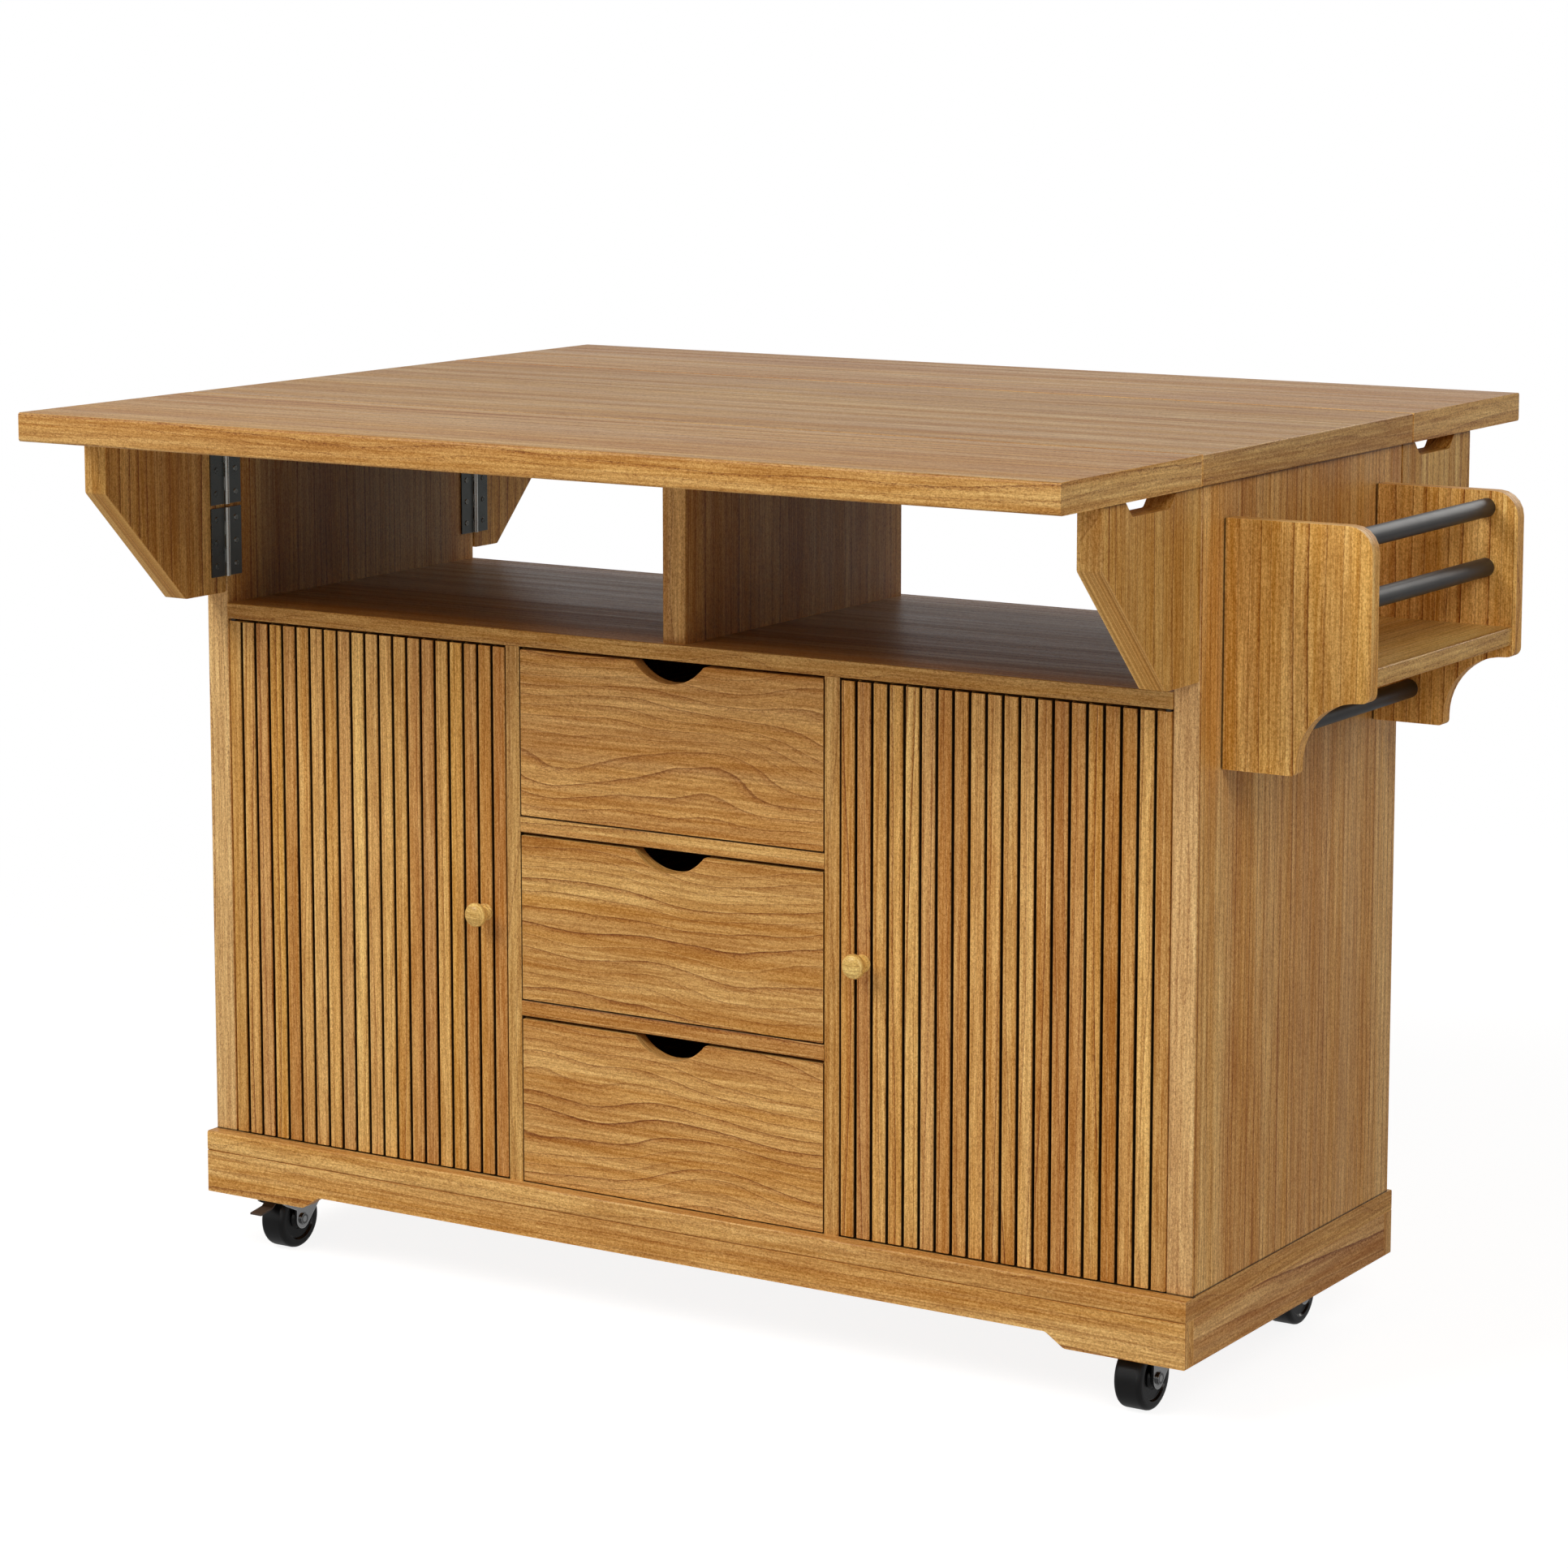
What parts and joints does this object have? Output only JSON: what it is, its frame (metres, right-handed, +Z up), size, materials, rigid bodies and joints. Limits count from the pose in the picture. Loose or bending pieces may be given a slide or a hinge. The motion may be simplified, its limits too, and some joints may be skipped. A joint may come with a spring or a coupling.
{
  "type": "drop leaf kitchen island",
  "caption": "Kitchen island on swivelling casters with raised drop leaves on folding brackets, slatted cupboard doors, drawers, an open compartment and a side rack.",
  "frame": {"origin": "on the floor, in the middle of the whole island, rack and leaves included", "axes": "+X along the worktop towards the side with the rack, -Y towards the side with the doors and drawers, +Z up"},
  "size_m": [1.3596, 1.0252, 0.945],
  "materials": {
    "oiled_wood": "oiled satin",
    "inner_wood": "satin",
    "pale_wood": "satin",
    "dark_metal": "satin",
    "steel": "satin",
    "black_metal": "semi gloss",
    "chrome": "polished",
    "black_plastic": "gloss"
  },
  "bodies": {
    "cabinet": {"left_side_panel": "oiled_wood", "right_side_panel": "oiled_wood", "base_panel": "oiled_wood", "plinth_front": "oiled_wood", "plinth_back": "oiled_wood", "plinth_ends": "oiled_wood", "caster_blocks": "inner_wood", "compartment_shelf": "oiled_wood", "compartment_divider": "oiled_wood", "left_partition": "oiled_wood", "right_partition": "oiled_wood", "drawer_rails": "oiled_wood", "back_panel": "inner_wood", "cupboard_shelves": "inner_wood", "shelf_pins": "steel", "centre_top": "oiled_wood", "rack_front_side": "oiled_wood", "rack_rear_side": "oiled_wood", "rack_shelf": "oiled_wood", "rack_rods": "black_metal", "fixed_hinge_plates": "dark_metal", "hinge_pins": "steel", "fixed_hinge_screws": "steel", "cabinet_runners": "steel", "door_pivot_pins": "steel", "caster_plates": "chrome"},
    "front_leaf": {"front_leaf": "oiled_wood", "front_leaf_hinge_plates": "dark_metal"},
    "rear_leaf": {"rear_leaf": "oiled_wood", "rear_leaf_hinge_plates": "dark_metal"},
    "front_left_bracket": {"front_left_bracket": "oiled_wood", "front_left_bracket_plates": "dark_metal"},
    "front_right_bracket": {"front_right_bracket": "oiled_wood", "front_right_bracket_plates": "dark_metal"},
    "rear_left_bracket": {"rear_left_bracket": "oiled_wood", "rear_left_bracket_plates": "dark_metal"},
    "rear_right_bracket": {"rear_right_bracket": "oiled_wood", "rear_right_bracket_plates": "dark_metal"},
    "left_door": {"left_door": "oiled_wood", "left_door_slats": "oiled_wood", "left_door_knob": "pale_wood"},
    "right_door": {"right_door": "oiled_wood", "right_door_slats": "oiled_wood", "right_door_knob": "pale_wood"},
    "top_drawer": {"top_drawer_front": "oiled_wood", "top_drawer_box": "inner_wood"},
    "middle_drawer": {"middle_drawer_front": "oiled_wood", "middle_drawer_box": "inner_wood"},
    "bottom_drawer": {"bottom_drawer_front": "oiled_wood", "bottom_drawer_box": "inner_wood"},
    "front_left_fork": {"front_left_fork": "chrome"},
    "front_left_wheel": {"front_left_wheel": "black_plastic"},
    "front_left_brake": {"front_left_brake": "black_metal"},
    "front_right_fork": {"front_right_fork": "chrome"},
    "front_right_wheel": {"front_right_wheel": "black_plastic"},
    "rear_left_fork": {"rear_left_fork": "chrome"},
    "rear_left_wheel": {"rear_left_wheel": "black_plastic"},
    "rear_right_fork": {"rear_right_fork": "chrome"},
    "rear_right_wheel": {"rear_right_wheel": "black_plastic"},
    "rear_right_brake": {"rear_right_brake": "black_metal"}
  },
  "joints": [
    {"name": "front_leaf_hinge", "type": "hinge", "parent": "cabinet", "child": "front_leaf", "pos_m": [-0.07375, -0.2378, 0.9121], "axis": [1, 0, 0], "range_deg": [-2.5, 0]},
    {"name": "rear_leaf_hinge", "type": "hinge", "parent": "cabinet", "child": "rear_leaf", "pos_m": [-0.07375, 0.2378, 0.9121], "axis": [-1, 0, 0], "range_deg": [-2.5, 0]},
    {"name": "front_left_bracket_hinge", "type": "hinge", "parent": "cabinet", "child": "front_left_bracket", "pos_m": [-0.64285, -0.226, 0.855], "axis": [0, 0, 1], "range_deg": [0, 180]},
    {"name": "front_right_bracket_hinge", "type": "hinge", "parent": "cabinet", "child": "front_right_bracket", "pos_m": [0.49535, -0.226, 0.855], "axis": [0, 0, -1], "range_deg": [0, 180]},
    {"name": "rear_left_bracket_hinge", "type": "hinge", "parent": "cabinet", "child": "rear_left_bracket", "pos_m": [-0.64285, 0.226, 0.855], "axis": [0, 0, -1], "range_deg": [0, 180]},
    {"name": "rear_right_bracket_hinge", "type": "hinge", "parent": "cabinet", "child": "rear_right_bracket", "pos_m": [0.49535, 0.226, 0.855], "axis": [0, 0, 1], "range_deg": [0, 180]},
    {"name": "left_door_pivot", "type": "hinge", "parent": "cabinet", "child": "left_door", "pos_m": [-0.64005, -0.2208, 0.133], "axis": [0, 0, -1], "range_deg": [0, 100]},
    {"name": "right_door_pivot", "type": "hinge", "parent": "cabinet", "child": "right_door", "pos_m": [0.49255, -0.2208, 0.133], "axis": [0, 0, 1], "range_deg": [0, 100]},
    {"name": "top_drawer_slide", "type": "slide", "parent": "cabinet", "child": "top_drawer", "axis": [0, -1, 0], "range_m": [0, 0.3]},
    {"name": "middle_drawer_slide", "type": "slide", "parent": "cabinet", "child": "middle_drawer", "axis": [0, -1, 0], "range_m": [0, 0.3]},
    {"name": "bottom_drawer_slide", "type": "slide", "parent": "cabinet", "child": "bottom_drawer", "axis": [0, -1, 0], "range_m": [0, 0.3]},
    {"name": "front_left_swivel", "type": "hinge", "parent": "cabinet", "child": "front_left_fork", "pos_m": [-0.60225, -0.165, 0.07075], "axis": [0, 0, 1], "continuous": true},
    {"name": "front_left_wheel_axle", "type": "hinge", "parent": "front_left_fork", "child": "front_left_wheel", "pos_m": [-0.60225, -0.189, 0.033], "axis": [1, 0, 0], "continuous": true},
    {"name": "front_left_brake_pin", "type": "hinge", "parent": "front_left_fork", "child": "front_left_brake", "pos_m": [-0.60225, -0.217, 0.0575], "axis": [1, 0, 0], "range_deg": [0, 12]},
    {"name": "front_right_swivel", "type": "hinge", "parent": "cabinet", "child": "front_right_fork", "pos_m": [0.45475, -0.165, 0.07075], "axis": [0, 0, 1], "continuous": true},
    {"name": "front_right_wheel_axle", "type": "hinge", "parent": "front_right_fork", "child": "front_right_wheel", "pos_m": [0.45475, -0.189, 0.033], "axis": [1, 0, 0], "continuous": true},
    {"name": "rear_left_swivel", "type": "hinge", "parent": "cabinet", "child": "rear_left_fork", "pos_m": [-0.60225, 0.165, 0.07075], "axis": [0, 0, 1], "continuous": true},
    {"name": "rear_left_wheel_axle", "type": "hinge", "parent": "rear_left_fork", "child": "rear_left_wheel", "pos_m": [-0.60225, 0.141, 0.033], "axis": [1, 0, 0], "continuous": true},
    {"name": "rear_right_swivel", "type": "hinge", "parent": "cabinet", "child": "rear_right_fork", "pos_m": [0.45475, 0.165, 0.07075], "axis": [0, 0, 1], "continuous": true},
    {"name": "rear_right_wheel_axle", "type": "hinge", "parent": "rear_right_fork", "child": "rear_right_wheel", "pos_m": [0.45475, 0.141, 0.033], "axis": [1, 0, 0], "continuous": true},
    {"name": "rear_right_brake_pin", "type": "hinge", "parent": "rear_right_fork", "child": "rear_right_brake", "pos_m": [0.45475, 0.113, 0.0575], "axis": [1, 0, 0], "range_deg": [0, 12]}
  ]
}
